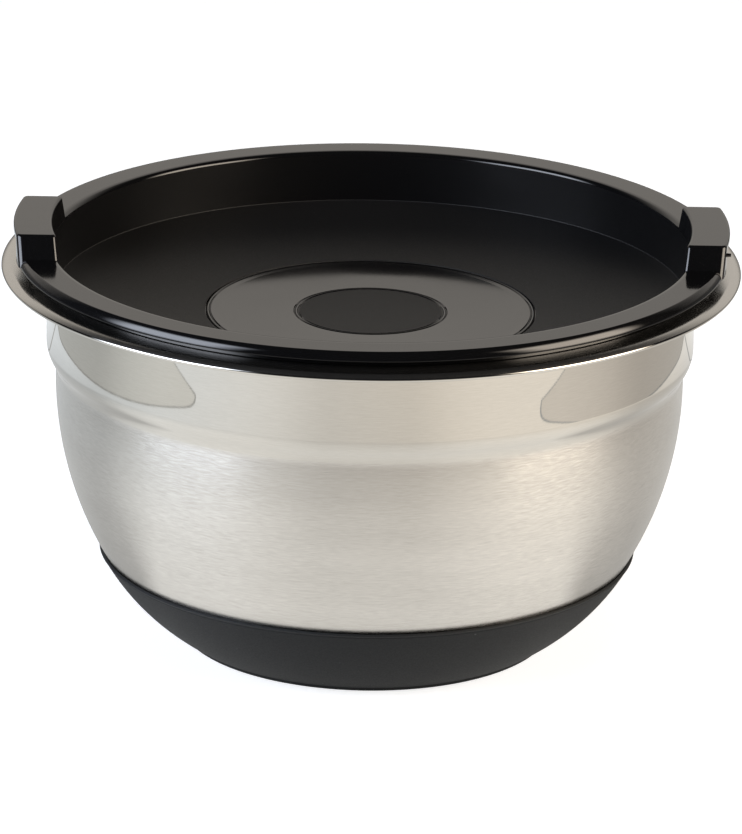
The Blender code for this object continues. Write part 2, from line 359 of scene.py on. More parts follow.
def paint(piece, finishes, choose):
    """Give each face the finish that choose(radius, height, upward) picks, in millimetres."""
    for finish in finishes:
        piece.data.materials.append(finish)
    for face in piece.data.polygons:
        radius = sqrt(face.center.x ** 2 + face.center.y ** 2) / MM
        face.material_index = choose(radius, face.center.z / MM, face.normal.z)


print("a turned piece has", SEGMENTS, "segments")

# %% [markdown]
# ## The steel bowl
#
# A disc of sheet steel was drawn into a cup, stepped in at a shoulder, and its rim flared and
# rolled. The outline therefore follows one sheet: the outer skin and the inner skin are the
# same curves a sheet thickness apart. Below the shoulder two arcs meet without a kink, and
# their radii follow from where the wall starts, how far it turns, and how wide the base is.
# The lip bends over gently and ends in a tight curl. The curl turns so quickly that it mirrors
# the whole room in a millimetre, which draws the thin dark and bright lines round the rim.

# %% Bowl sizes and wall arcs
BOWL_HEIGHT = 144.5
BAND_RADIUS = 120.0
SHEET = 0.7
RIM_RADIUS = 136.67
LIP_BEND = 5.0
CURL = 0.9
CURL_START = 48.0
CURL_END = -200.0
FLARE_RADIUS = 5.5
SHOULDER_TOP = 114.0
SHOULDER_HEIGHT = 11.0
SHOULDER_STEP = 3.45
WALL_TOP = 99.5
BASE_RADIUS = 68.6
BOWL_BOTTOM = 2.3
WALL_TURN = radians(32.3)
BASE_TURN = radians(59.35)
BODY_RADIUS = BAND_RADIUS - SHOULDER_STEP
BRUSH_TOP = 104.5
# The sheet's lower skin leaves the curl at this angle of the lip's bend.
UNDER_LIP = 60.0
# The lip's satin top starts at this radius and ends where the curl begins.
LIP_START = 122.0
LIP_TILT = sin(radians(CURL_START))
# A face of the inside never looks down by more than this.
UPRIGHT = 0.01


def wall_arcs():
    """Centres and radii of the two arcs that lead from the upright wall to the base."""
    drop = WALL_TOP - BOWL_BOTTOM
    inset = BODY_RADIUS - BASE_RADIUS
    a, b = 1.0 - cos(WALL_TURN), cos(WALL_TURN) - cos(BASE_TURN)
    c, d = sin(WALL_TURN), sin(BASE_TURN) - sin(WALL_TURN)
    upper = (inset * d - b * drop) / (a * d - b * c)
    lower = (a * drop - c * inset) / (a * d - b * c)
    upper_centre = (BODY_RADIUS - upper, WALL_TOP)
    shift = upper - lower
    lower_centre = (upper_centre[0] + shift * cos(WALL_TURN), WALL_TOP - shift * sin(WALL_TURN))
    return (upper_centre, upper), (lower_centre, lower)


UPPER_ARC, LOWER_ARC = wall_arcs()
print("wall arcs of", round(UPPER_ARC[1], 1), "and", round(LOWER_ARC[1], 1), "mm radius")


# %% Bowl outline
def wall_between(offset, top, bottom, steps=40):
    """Curved wall from a top height to a bottom height, moved outward by an offset."""
    points = []
    for i in range(steps + 1):
        height = top + (bottom - top) * (1.0 - cos(0.5 * pi * i / steps))
        (centre, radius) = UPPER_ARC
        if centre[1] - height > (radius + offset) * sin(WALL_TURN):
            (centre, radius) = LOWER_ARC
        angle = asin((centre[1] - height) / (radius + offset))
        points.append((centre[0] + (radius + offset) * cos(angle), height))
    return points


def shoulder(offset):
    """Double curve from the upper band in to the body."""
    bend = 2.0 * asin(SHOULDER_STEP / sqrt(SHOULDER_STEP ** 2 + SHOULDER_HEIGHT ** 2))
    radius = SHOULDER_HEIGHT / (2.0 * sin(bend))
    foot = SHOULDER_TOP - SHOULDER_HEIGHT
    upper = arc((BAND_RADIUS - radius, SHOULDER_TOP), radius + offset, 0.0, -degrees(bend))
    lower = arc((BODY_RADIUS + radius, foot), radius - offset, 180.0 - degrees(bend), 180.0)
    return upper + lower[1:]


def rim_outline():
    """The lip bends over in an easy curve, and its edge is curled tightly under."""
    bend = (RIM_RADIUS - CURL - (LIP_BEND - CURL) * cos(radians(CURL_START)),
            BOWL_HEIGHT - LIP_BEND)
    curl = arc(bend, LIP_BEND - CURL, CURL_START, CURL_START, steps=1)[0]
    points = arc(bend, LIP_BEND, 90.0, CURL_START, steps=14)
    points += arc(curl, CURL, CURL_START, CURL_END, steps=16)[1:]
    points += arc(bend, LIP_BEND - SHEET, UNDER_LIP, 90.0, steps=6)
    return points


def bowl_outline():
    """One sheet from the middle of its inside, over the rim, to the middle of its underside."""
    flare = (BAND_RADIUS - SHEET + FLARE_RADIUS, BOWL_HEIGHT - FLARE_RADIUS)
    inside = shoulder(-SHEET) + wall_between(-SHEET, WALL_TOP, BOWL_BOTTOM + SHEET)
    points = [(0.0, BOWL_BOTTOM + SHEET)]
    points += inside[::-1]
    points += arc(flare, FLARE_RADIUS, 180.0, 90.0)
    points += rim_outline()
    points += arc(flare, FLARE_RADIUS - SHEET, 90.0, 180.0)
    points += shoulder(0.0) + wall_between(0.0, WALL_TOP, BOWL_BOTTOM)
    points.append((0.0, BOWL_BOTTOM))
    return points


def bowl_finish(radius, height, upward):
    """Brushed below the shoulder and inside, satin on top of the lip, buffed on the band."""
    inside = radius < BAND_RADIUS - 0.5 * SHEET and upward > -UPRIGHT
    below_flare = height < BOWL_HEIGHT - FLARE_RADIUS
    if (inside and below_flare) or height < BRUSH_TOP:
        return 1
    return 2 if upward > LIP_TILT and radius > LIP_START else 0


bowl = turn("mixing_bowl", bowl_outline())
paint(bowl, (buffed_steel, brushed_steel, satin_steel), bowl_finish)
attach(bowl, "bowl")
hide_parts("bowl_shell")
print("bowl faces:", len(bowl.data.polygons))

# %% [markdown]
# ## The boot
#
# The boot is a soft cup that hugs the lower bowl. Its wall runs a constant distance outside the
# steel, so it reuses the bowl's own wall curve. The top edge has a small rolled lip, which
# catches a thin dark line against the steel, and the foot has a soft corner.

# %% Boot outline
BOOT_HEIGHT = 33.5
BOOT_FLOOR = 2.0
BOOT_INSIDE = 0.3
BOOT_OUTSIDE = 1.3
LIP_HEIGHT = 1.6
# Points of the rolled lip: out from the inner edge and down from the top, in millimetres.
LIP_POINTS = ((0.45, 0.0), (0.80, 0.18), (0.98, 0.50))
NECK_OUT = 0.02
NECK_RISE = 0.35
FOOT_ROUND = 1.5
FOOT_START = -30.0


def boot_outline():
    """The cup from the middle of its floor, over its lip, to the middle of its foot."""
    inside = wall_between(BOOT_INSIDE, BOOT_HEIGHT, BOOT_FLOOR)
    outside = wall_between(BOOT_OUTSIDE, BOOT_HEIGHT - LIP_HEIGHT, FOOT_ROUND)
    inner_edge = inside[0]
    lip_foot = outside[0]
    points = [(0.0, BOOT_FLOOR)]
    points += inside[::-1]
    points += [(inner_edge[0] + out, BOOT_HEIGHT - down) for out, down in LIP_POINTS]
    points.append((lip_foot[0] + NECK_OUT, BOOT_HEIGHT - LIP_HEIGHT + NECK_RISE))
    points += outside
    foot = outside[-1]
    points += arc((foot[0] - FOOT_ROUND, FOOT_ROUND), FOOT_ROUND, FOOT_START, -90.0, steps=6)[1:]
    points.append((0.0, 0.0))
    return points


boot = turn("silicone_boot", boot_outline())
boot.data.materials.append(silicone)
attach(boot, "bowl")
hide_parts("base_boot")
print("boot faces:", len(boot.data.polygons))

# %% [markdown]
# ## The lid
#
# The lid is one moulding. A rib under its flange rests on the bowl's rim, a well drops inside
# it, and the well's floor is a shallow dish with a round opening for the cap. A ledge below the
# opening carries the cap. All of this is round, so it is turned like the bowl. The flange's
# inner edge is eased, and its outer side is a steep crowned slope that catches a long streak
# from each soft box. Its foot stays clear of the rim, with a dark gap below it.

# %% Lid sizes and dished floor
LID_WALL = 1.6
SEAT_HEIGHT = 144.8
SEAT_RADIUS = 126.0
FLANGE_TOP = 151.0
FLANGE_RADIUS = 131.4
FLANGE_FILLET = 1.6
# The flange's inner edge starts in an easy curve, up to this angle from the flat.
EASE_ROUND = 6.0
EASE_TURN = 12.0
# The flange's side is a steep crowned slope; its normal rises by these angles at top and foot.
SIDE_TOP = 50.0
SIDE_FOOT = 6.0
SIDE_ROUND = 4.6
EDGE_ROUND = 0.7
FOOT_EDGE = 0.15
MOUTH_EDGE = 0.25
WELL_FLOOR = 131.6
WELL_FILLET = 0.3
# The well's corner runs from the floor at this angle up to the wall's draft. The dish stops
# short of it by a margin.
CORNER_START = -78.0
FLOOR_MARGIN = 2.0
WELL_DRAFT = 2.0
WELL_AT_FLARE = 117.35
FLARE_START = 139.0
DISH_DEPTH = 8.4
DISH_POWER = 2.5
OPENING_RADIUS = 61.3
LEDGE_RADIUS = 57.8
LEDGE_DROP = 1.9


def well_radius(height):
    """Inner radius of the well's wall, which widens upwards by its draft."""
    return WELL_AT_FLARE + (height - FLARE_START) * tan(radians(WELL_DRAFT))


def dish_height(radius):
    """Height of the well's floor, a shallow dish that is lowest in the middle."""
    return WELL_FLOOR - DISH_DEPTH * (1.0 - (radius / well_radius(WELL_FLOOR)) ** DISH_POWER)


def dish(inner, outer, drop, steps=24):
    """Points on the dish from an inner to an outer radius, lowered by a drop."""
    radii = [inner + (outer - inner) * i / steps for i in range(steps + 1)]
    return [(radius, dish_height(radius) - drop) for radius in radii]


print("dish lies", round(FLANGE_TOP - dish_height(0.0), 1), "mm below the flange in the middle")


# %% Lid outline
def flange_side(underside):
    """Outer skin of the flange from its flat top to its foot, then the inner skin back up."""
    rise = radians(SIDE_TOP)
    side = (FLANGE_RADIUS - SIDE_ROUND * cos(radians(SIDE_FOOT)),
            FLANGE_TOP - EDGE_ROUND * (1.0 - sin(rise)) - SIDE_ROUND * sin(rise))
    edge = (side[0] + (SIDE_ROUND - EDGE_ROUND) * cos(rise), FLANGE_TOP - EDGE_ROUND)
    inner_round = SIDE_ROUND - LID_WALL
    points = arc(edge, EDGE_ROUND, 90.0, SIDE_TOP, steps=8)
    points += arc(side, SIDE_ROUND, SIDE_TOP, SIDE_FOOT, steps=12)[1:]
    foot = arc(side, SIDE_ROUND - FOOT_EDGE, SIDE_FOOT, SIDE_FOOT, steps=1)[0]
    points += arc(foot, FOOT_EDGE, SIDE_FOOT, -90.0, steps=5)[1:]
    inner_top = degrees(asin((underside - side[1]) / inner_round))
    points += arc(side, inner_round, SIDE_FOOT, inner_top, steps=6)
    return points


def lid_outline():
    """Closed outline: out along the dish, wall and flange, and back along the underside."""
    corner = (well_radius(WELL_FLOOR + WELL_FILLET) - WELL_FILLET, WELL_FLOOR + WELL_FILLET)
    ease_drop = (EASE_ROUND - FLANGE_FILLET) * (1.0 - cos(radians(EASE_TURN)))
    fillet_height = FLANGE_TOP - FLANGE_FILLET - ease_drop
    fillet = (well_radius(fillet_height) + FLANGE_FILLET, fillet_height)
    ease = (fillet[0] + (EASE_ROUND - FLANGE_FILLET) * sin(radians(EASE_TURN)),
            FLANGE_TOP - EASE_ROUND)
    underside = FLANGE_TOP - LID_WALL
    ledge = dish_height(OPENING_RADIUS) - LEDGE_DROP
    collar = OPENING_RADIUS + LID_WALL

    points = [(OPENING_RADIUS, dish_height(OPENING_RADIUS) - MOUTH_EDGE)]
    points += dish(OPENING_RADIUS + MOUTH_EDGE, corner[0] - FLOOR_MARGIN, 0.0)
    points += arc(corner, WELL_FILLET, CORNER_START, -WELL_DRAFT)
    points += arc(fillet, FLANGE_FILLET, 180.0, 90.0 + EASE_TURN, steps=12)
    points += arc(ease, EASE_ROUND, 90.0 + EASE_TURN, 90.0, steps=8)[1:]
    points += flange_side(underside)
    points += [(SEAT_RADIUS, underside), (SEAT_RADIUS, SEAT_HEIGHT)]
    points += [(SEAT_RADIUS - LID_WALL, SEAT_HEIGHT), (SEAT_RADIUS - LID_WALL, underside)]
    points += [(ease[0], underside), (well_radius(underside) + LID_WALL, fillet_height)]
    points += arc(corner, WELL_FILLET + LID_WALL, -WELL_DRAFT, CORNER_START)
    points += dish(collar, corner[0] - FLOOR_MARGIN, LID_WALL)[::-1]
    points += [(collar, ledge - LID_WALL), (LEDGE_RADIUS, ledge - LID_WALL)]
    points += [(LEDGE_RADIUS, ledge), (OPENING_RADIUS, ledge)]
    return points


lid = turn("lid_moulding", lid_outline(), closed=True)
print("lid shell faces:", len(lid.data.polygons))

# %% [markdown]
# ## The finger arches
#
# Two short lengths of the flange stand up as arches, open on their outer side, so that
# fingertips can reach under and pull. Each is a block with rounded corners that is lofted from
# its foot to its top with sloping ends, united with the shell, and then hollowed by a cutter.
# A moulded part has no sharp outer corners: the upright edges are round in plan and the top
# edge is rolled over in a few small steps, and those edges carry the bright lines. A short
# stub on the right arch marks the gate, where the plastic entered the mould.

# %% Arch blocks and finger gaps
ARCH_TOP = 159.4
ARCH_HALF = 25.0
ARCH_ROOF = 2.2
ARCH_CORNER = 1.9
ARCH_EDGE = 0.9
ARCH_FOOT = 148.0
ARCH_INNER = 117.7
ARCH_OUTER = 132.0
# The inner side leans out as it rises, the outer side by a share of that, and the ends slope in.
ARCH_LEAN = tan(radians(1.2))
OUTER_LEAN = 0.5
ARCH_DRAFT = tan(radians(23.0))
GAP_INNER = 120.2
GAP_HALF = 22.5
GAP_CORNER = 0.8
# The cutter passes the rim by GAP_REACH and starts GAP_DROP below the lid's seat.
GAP_REACH = 10.0
GAP_DROP = 6.0
# Heights of the loft's outlines, and how far each draws in at the rolled top edge.
ROLL_STEP = 15
ARCH_LEVELS = [(ARCH_FOOT, 0.0)]
for degrees_up in range(0, 90 + ROLL_STEP, ROLL_STEP):
    rolled = radians(degrees_up)
    ARCH_LEVELS.append((ARCH_TOP - ARCH_EDGE * (1.0 - sin(rolled)),
                        ARCH_EDGE * (1.0 - cos(rolled))))
ARCH_LEVELS.append((ARCH_TOP, ARCH_EDGE + SUPPORT))
GATE_PLACE = Vector((130.4, -22.8, 155.4)) * MM
GATE_RADIUS = 0.8 * MM
GATE_TAPER = 0.8
GATE_LENGTH = 2.5 * MM
GATE_SEGMENTS = 16
CORNER_STEPS = 8
LONG_SIDE_STEPS = 28
SHORT_SIDE_STEPS = 6


def arch_plan(inner, outer, half, corner, side):
    """Closed outline in plan: a bent strip with rounded corners, on the +X or -X side."""
    corners = ((outer, half, 1, 1), (inner, half, -1, 1),
               (inner, -half, -1, -1), (outer, -half, 1, -1))
    outline = []
    for i, (edge, end, out, up) in enumerate(corners):
        centre = (edge - out * corner, end - up * corner)
        outline.append(arc(centre, corner, 90.0 * i, 90.0 * i + 90.0, CORNER_STEPS))
    plan = []
    for i, turned in enumerate(outline):
        (u, v), (next_u, next_v) = turned[-1], outline[(i + 1) % 4][0]
        steps = LONG_SIDE_STEPS if i % 2 else SHORT_SIDE_STEPS
        run = [(u + (next_u - u) * k / steps, v + (next_v - v) * k / steps)
               for k in range(1, steps)]
        plan += turned + run
    return [(side * sqrt(u * u - v * v), v) for u, v in plan]


def loft(name, levels):
    """Closed solid through outlines of equal length, each at its own height in millimetres."""
    shape = bmesh.new()
    rings = [[shape.verts.new((x * MM, y * MM, z * MM)) for x, y in plan] for z, plan in levels]
    for low, high in zip(rings, rings[1:]):
        count = len(low)
        for i in range(count):
            shape.faces.new((low[i], low[(i + 1) % count], high[(i + 1) % count], high[i]))
    shape.faces.new(rings[0])
    shape.faces.new(rings[-1])
    return keep_mesh(name, shape)


def arch_block(side):
    """One arch as a solid block, from inside the flange to its rolled top."""
    levels = []
    for z, inset in ARCH_LEVELS:
        lean = ARCH_LEAN * (z - ARCH_FOOT)
        half = ARCH_HALF + ARCH_DRAFT * (ARCH_TOP - z)
        plan = arch_plan(ARCH_INNER + lean + inset, ARCH_OUTER + OUTER_LEAN * lean - inset,
                         half - inset, ARCH_CORNER - inset, side)
        levels.append((z, plan))
    return loft("arch_block", levels)


def finger_gap(side):
    """Air under one arch, open to the outside and below."""
    plan = arch_plan(GAP_INNER, RIM_RADIUS + GAP_REACH, GAP_HALF, GAP_CORNER, side)
    return loft("finger_gap", [(z, plan) for z in (SEAT_HEIGHT - GAP_DROP, ARCH_TOP - ARCH_ROOF)])


def gate_stub():
    """Stub left where the plastic entered the mould, on the right arch's front outer corner."""
    shape = bmesh.new()
    place = Matrix.Translation(GATE_PLACE) @ Matrix.Rotation(radians(90.0), 4, "Y")
    bmesh.ops.create_cone(shape, cap_ends=True, segments=GATE_SEGMENTS, radius1=GATE_RADIUS,
                          radius2=GATE_TAPER * GATE_RADIUS, depth=GATE_LENGTH, matrix=place)
    return keep_mesh("gate_stub", shape)


print("arches rise", round(ARCH_TOP - FLANGE_TOP, 1), "mm above the flange")


# %% Join arches and lid
def combine(piece, operation, tool):
    """Unite a piece with a tool, or cut the tool out of it, and drop the tool."""
    modifier = piece.modifiers.new("combine", "BOOLEAN")
    modifier.operation = operation
    modifier.solver = "EXACT"
    modifier.object = tool
    bpy.context.view_layer.update()
    solved = piece.evaluated_get(bpy.context.evaluated_depsgraph_get())
    done = bpy.data.meshes.new_from_object(solved)
    piece.modifiers.clear()
    piece.data = done
    bpy.data.objects.remove(tool, do_unlink=True)


# A face that looks up by more than this is no part of the upright wall.
FLOOR_TILT = 0.1


def lid_finish(radius, height, upward):
    """Grained on the well's floor, satin on its upright wall, polished everywhere else."""
    if upward > FLOOR_TILT:
        return 1 if OPENING_RADIUS < radius < well_radius(WELL_FLOOR) else 0
    beside_wall = abs(radius - well_radius(height)) < 0.5 * LID_WALL
    return 2 if beside_wall and WELL_FLOOR < height < FLANGE_TOP - FLANGE_FILLET else 0


for side in (1.0, -1.0):
    combine(lid, "UNION", arch_block(side))
    combine(lid, "DIFFERENCE", finger_gap(side))
combine(lid, "UNION", gate_stub())
lid.data.shade_smooth()
lid.data.set_sharp_from_angle(angle=CREASE)
paint(lid, (gloss_black, grained_black, satin_black), lid_finish)
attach(lid, "lid")
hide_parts("lid")
print("lid faces:", len(lid.data.polygons))

# %% [markdown]
# ## The centre cap
#
# The cap fills the lid's opening. A thin bead runs round its edge, inside it lies a polished
# ring, and a second bead frames the grained press pad. Below, a skirt drops through the ledge
# and keeps the cap centred. A bead is only a millimetre wide, but its two sides make the dark,
# bright and dark line that marks both circles, so it is modelled and not painted.

# %% Cap outline
CAP_RADIUS = 61.0
CAP_WALL = 1.6
CAP_SKIRT = 2.5
CAP_FIT = 0.3
PAD_RADIUS = 28.3
# The pad is a very shallow dish that lies a little below the ring.
PAD_DIP = 0.25
PAD_SAG = 0.2
PAD_RADII = (5.0, 10.0, 15.0, 20.0, 25.0)
RING_RADII = (34.0, 40.0, 46.0, 52.0, 57.0)
RING_UNDERSIDE = 40.0
RING_RISE = 0.5
# A bead's radius, how far it stands proud and how far it turns to either side in degrees, and
# the groove's depth and two feet beside it.
BEAD = 0.55
BEAD_PROUD = 0.1
BEAD_TURN = 60.0
BEAD_GROOVE = 0.45
GROOVE_INNER = 0.15
GROOVE_OUTER = 0.55
# How far the two beads and the grained area lie inside the edges that they follow.
EDGE_BEAD_INSET = 0.2
PAD_BEAD_INSET = 0.8
PAD_GRAIN_INSET = 1.9
EDGE_DROP = 0.6
LOOKS_UP = 0.5


def ring_height(radius):
    """Upper face of the polished ring, which rises a little towards its edge."""
    return dish_height(CAP_RADIUS) - RING_RISE * (CAP_RADIUS - radius) / (CAP_RADIUS - PAD_RADIUS)


def bead(radius, height):
    """A round bead with a small groove on either side, from its inner to its outer foot."""
    reach = BEAD + GROOVE_OUTER
    points = [(radius - reach, height), (radius - BEAD - GROOVE_INNER, height - BEAD_GROOVE)]
    crown = (radius, height - BEAD + BEAD_PROUD)
    points += arc(crown, BEAD, 90.0 + BEAD_TURN, 90.0 - BEAD_TURN, steps=8)
    points += [(radius + BEAD + GROOVE_INNER, height - BEAD_GROOVE), (radius + reach, height)]
    return points


def cap_outline():
    """The cap from the middle of its press pad, over its edge and skirt, to its underside."""
    ledge = dish_height(OPENING_RADIUS) - LEDGE_DROP
    seat = ledge + CAP_FIT
    skirt_outer = LEDGE_RADIUS - CAP_FIT
    skirt_foot = ledge - LID_WALL - CAP_SKIRT
    pad_height = ring_height(PAD_RADIUS)
    skirt_inner = skirt_outer - CAP_WALL
    edge_height = dish_height(CAP_RADIUS)
    points = [(0.0, pad_height - PAD_DIP)]
    points += [(r, pad_height - PAD_DIP + PAD_SAG * (r / PAD_RADIUS) ** 2) for r in PAD_RADII]
    points += bead(PAD_RADIUS - PAD_BEAD_INSET, pad_height)
    points += [(r, ring_height(r)) for r in RING_RADII]
    # The edge bead's outer groove is the gap to the lid, so its last two points are left off.
    points += bead(CAP_RADIUS - BEAD - EDGE_BEAD_INSET, edge_height)[:-2]
    points += [(CAP_RADIUS, edge_height - EDGE_DROP), (CAP_RADIUS, seat), (skirt_outer, seat)]
    points += [(skirt_outer, skirt_foot), (skirt_inner, skirt_foot)]
    points += [(r, ring_height(r) - CAP_WALL) for r in (skirt_inner, RING_UNDERSIDE, PAD_RADIUS)]
    points.append((0.0, pad_height - PAD_DIP - CAP_WALL))
    return points


def cap_finish(radius, height, upward):
    """Grained on the press pad, polished elsewhere."""
    return 1 if radius < PAD_RADIUS - PAD_GRAIN_INSET and upward > LOOKS_UP else 0


cap = turn("centre_cap_moulding", cap_outline())
paint(cap, (gloss_black, grained_black), cap_finish)
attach(cap, "cap")
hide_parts("centre_cap")
print("cap faces:", len(cap.data.polygons))

# %% [markdown]
# ## The table that the steel mirrors
#
# Black gloss and steel show little but what they mirror, so the room matters as much as the
# finish. Glossy rays meet a pale table with a darker card on its left and right, which the
# steel band mirrors as two grey patches with a thin outline. Nodes draw this table from the
# floor's own coordinates in metres. First comes its outline, then its colour with the soft
# boxes' tints painted on, then its light, which is painted too: pools of light, shade beside
# the bowl and the bowl's shadow are a glow from the floor and are not cast by the lamps.

# %% Outline of the table and its cards
TABLE_CENTRE = (-0.006, -0.035, 0.0)
TABLE_RADIUS = 0.425
TABLE_STRETCH = (1.0, 0.88, 1.0)
TABLE_SIDE = 0.325
TABLE_ROUND = 0.03
CARD_CORNER = (0.395, -0.272)
CARD_SLOPE = 0.8
CARD_OFFSET = CARD_SLOPE * CARD_CORNER[0] - CARD_CORNER[1]
CARD_ROUND = 0.05
FAR_LINE = 0.308
SIDE_LINE_HALF = 0.0007
FAR_LINE_HALF = 0.0018
LINE_SOFT = 0.0009


def thin_line(tree, offset, half, other):
    """One where an offset in metres is near zero, as far as the other offset is below zero."""
    line = ramp(tree, scalar_math(tree, "ABSOLUTE", offset), half, half + LINE_SOFT, 1.0, 0.0)
    within = ramp(tree, other, -LINE_SOFT, LINE_SOFT, 1.0, 0.0)
    return scalar_math(tree, "MULTIPLY", line, within)


def cards_and_lines(tree, place, axes, aside):
    """One inside the grey cards, and one on the thin lines round the pale table."""
    offset = vector_math(tree, "SUBTRACT", place, TABLE_CENTRE)
    oval = vector_math(tree, "MULTIPLY", offset, TABLE_STRETCH)
    past_oval = scalar_math(tree, "SUBTRACT", vector_math(tree, "LENGTH", oval), TABLE_RADIUS)
    off_axis = scalar_math(tree, "ABSOLUTE", split(tree, offset)["X"])
    past_side = scalar_math(tree, "SUBTRACT", off_axis, TABLE_SIDE)
    past_table = scalar_math(tree, "SMOOTH_MIN", past_oval, past_side, TABLE_ROUND)
    outward = scalar_math(tree, "MAXIMUM", aside, CARD_CORNER[0])
    card_front = scalar_math(tree, "MULTIPLY_ADD", outward, -CARD_SLOPE, CARD_OFFSET)
    past_front = scalar_math(tree, "ADD", axes["Y"], card_front)
    in_card = scalar_math(tree, "SMOOTH_MIN", past_table, past_front, CARD_ROUND)
    card = ramp(tree, in_card, -LINE_SOFT, LINE_SOFT)
    past_far = scalar_math(tree, "SUBTRACT", axes["Y"], FAR_LINE)
    side_line = thin_line(tree, in_card, SIDE_LINE_HALF, past_far)
    far_line = thin_line(tree, past_far, FAR_LINE_HALF, in_card)
    return card, scalar_math(tree, "MAXIMUM", side_line, far_line)


print("table", 2.0 * TABLE_RADIUS, "m across")

# %% Colour of the table
# The left of the table is painted cool and its right warm, the tints of the two soft boxes, along
# this direction in metres.
WARM_COURSE = (1.0, -0.6, 0.0)
COOL_END = -0.55
WARM_END = 0.45
# Beyond this distance the table gives way to a grey floor.
FAR_EDGE = 0.68
FAR_FADE = 0.3


def table_tone(tree, place, away, card, lines):
    """Pale on the table, grey on the cards, darker on the lines, and grey far away, with the soft
    boxes' cool and warm tints painted on.
    """
    toward_warm_box = vector_math(tree, "DOT_PRODUCT", place, WARM_COURSE)
    painted_box_tint = ramp(tree, toward_warm_box, COOL_END, WARM_END)
    pale = blend(tree, painted_box_tint, "dfe5ea", "f0e8dd")
    grey = blend(tree, painted_box_tint, "dadcda", "ddd5cb")
    lined = blend(tree, lines, blend(tree, card, pale, grey), "acacaa")
    fade = ramp(tree, away, FAR_EDGE, FAR_EDGE + FAR_FADE, curve="SMOOTHSTEP")
    return blend(tree, fade, lined, "6e6e6e")


print("table fades out at", FAR_EDGE, "m")

# %% Light on the table
# Names in _NEAR and _FAR are distances from the bowl's axis in metres, with a level at each.
# All of this light is painted into the floor's glow. In front the table is brightest close to
# the bowl, a painted light, and beside the bowl it is dimmest there, a painted shade.
FRONT_NEAR, FRONT_FAR = 0.16, 0.36
FRONT_NEAR_LEVEL, FRONT_FAR_LEVEL = 1.22, 1.0
SIDE_NEAR, SIDE_FAR = 0.095, 0.22
SIDE_NEAR_LEVEL, SIDE_FAR_LEVEL = 0.62, 0.84
# A course is a level direction away from the axis; its share along LEVEL_COURSE runs from -1
# in front to 1 behind. The front's level turns into the side's between two such shares.
LEVEL_COURSE = (0.05, 1.0, 0.0)
FRONT_END = -0.42
TURN_NEAR, TURN_FAR = 0.12, 0.22
SIDE_START_NEAR, SIDE_START_FAR = -0.25, 0.02
# A painted pool of light lies on the table towards each soft box, and is weak close to the bowl.
BOX_COURSE = (sin(radians(56.0)), -cos(radians(56.0)), 0.0)
POOL_START = 0.70
POOL_LEVEL = 0.30
POOL_NEAR, POOL_FAR = 0.10, 0.24
POOL_NEAR_SHARE = 0.2
# The table's outer part is painted brighter, most of all behind the bowl. The cards are not.
OUTER_NEAR, OUTER_FAR = 0.36, 0.42
OUTER_LEVEL = 0.36
BEHIND_START, BEHIND_END = -0.2, 0.5
FRONT_SHARE = 0.2
# A painted shadow of the bowl darkens the table under its foot.
CONTACT_NEAR, CONTACT_FAR = 0.066, 0.105
CONTACT_LEVEL = 0.5


def table_light(tree, place, axes, aside, away, card):
    """Strength of the light painted into the mirrored table's glow, with its painted shade and
    shadow.
    """
    folded = add(tree, "CombineXYZ", {"X": aside, "Y": axes["Y"]}).outputs[0]
    course = vector_math(tree, "NORMALIZE", folded)
    towards = vector_math(tree, "DOT_PRODUCT", course, BOX_COURSE)
    pool = ramp(tree, towards, POOL_START, 1.0, 0.0, POOL_LEVEL, curve="SMOOTHSTEP")
    pool_share = ramp(tree, away, POOL_NEAR, POOL_FAR, POOL_NEAR_SHARE, 1.0)
    painted_front_light = ramp(tree, away, FRONT_NEAR, FRONT_FAR, FRONT_NEAR_LEVEL, FRONT_FAR_LEVEL)
    painted_side_shade = ramp(tree, away, SIDE_NEAR, SIDE_FAR, SIDE_NEAR_LEVEL, SIDE_FAR_LEVEL)
    heading = vector_math(tree, "NORMALIZE", place)
    backward = vector_math(tree, "DOT_PRODUCT", heading, LEVEL_COURSE)
    side_start = ramp(tree, away, TURN_NEAR, TURN_FAR, SIDE_START_NEAR, SIDE_START_FAR)
    level = ramp(tree, backward, FRONT_END, side_start, painted_front_light, painted_side_shade)
    lit = scalar_math(tree, "MULTIPLY_ADD", pool, pool_share, level)
    outer = ramp(tree, away, OUTER_NEAR, OUTER_FAR, 0.0, OUTER_LEVEL)
    beyond = ramp(tree, split(tree, course)["Y"], BEHIND_START, BEHIND_END, FRONT_SHARE, 1.0)
    on_table = ramp(tree, card, 0.0, 1.0, beyond, 0.0)
    open_floor = scalar_math(tree, "MULTIPLY_ADD", outer, on_table, lit)
    painted_contact_shadow = ramp(tree, away, CONTACT_NEAR, CONTACT_FAR, CONTACT_LEVEL, 1.0)
    return scalar_math(tree, "MULTIPLY", open_floor, painted_contact_shadow)


def mirrored_table(tree):
    """Colour and strength of the painted light that glossy rays meet on the floor, and the distance
    from the axis.
    """
    place = add(tree, "TexCoord").outputs["Object"]
    axes = split(tree, place)
    aside = scalar_math(tree, "ABSOLUTE", axes["X"])
    away = vector_math(tree, "LENGTH", place)
    card, lines = cards_and_lines(tree, place, axes, aside)
    tone = table_tone(tree, place, away, card, lines)
    return tone, table_light(tree, place, axes, aside, away, card), away


print("pools of light point", round(degrees(asin(BOX_COURSE[0]))), "degrees to either side")

# %% [markdown]
# ## Floor and room
#
# Camera rays see a plain white floor that keeps the bowl's soft shadow. The floor is matte and
# glows a little, and the glow grows to full white far away, where the lamps no longer reach.
# The room is white for the camera, and for all other rays white behind the table and dark
# above and in front.

# %% Floor
FLOOR_RADIUS = 3.0
FLOOR_SEGMENTS = 96
# The floor lies just under the boot, so that the two faces don't share a plane.
FLOOR_DROP = 0.2 * MM
FILL = 0.72
FILL_NEAR = 0.9
FILL_FAR = 1.6


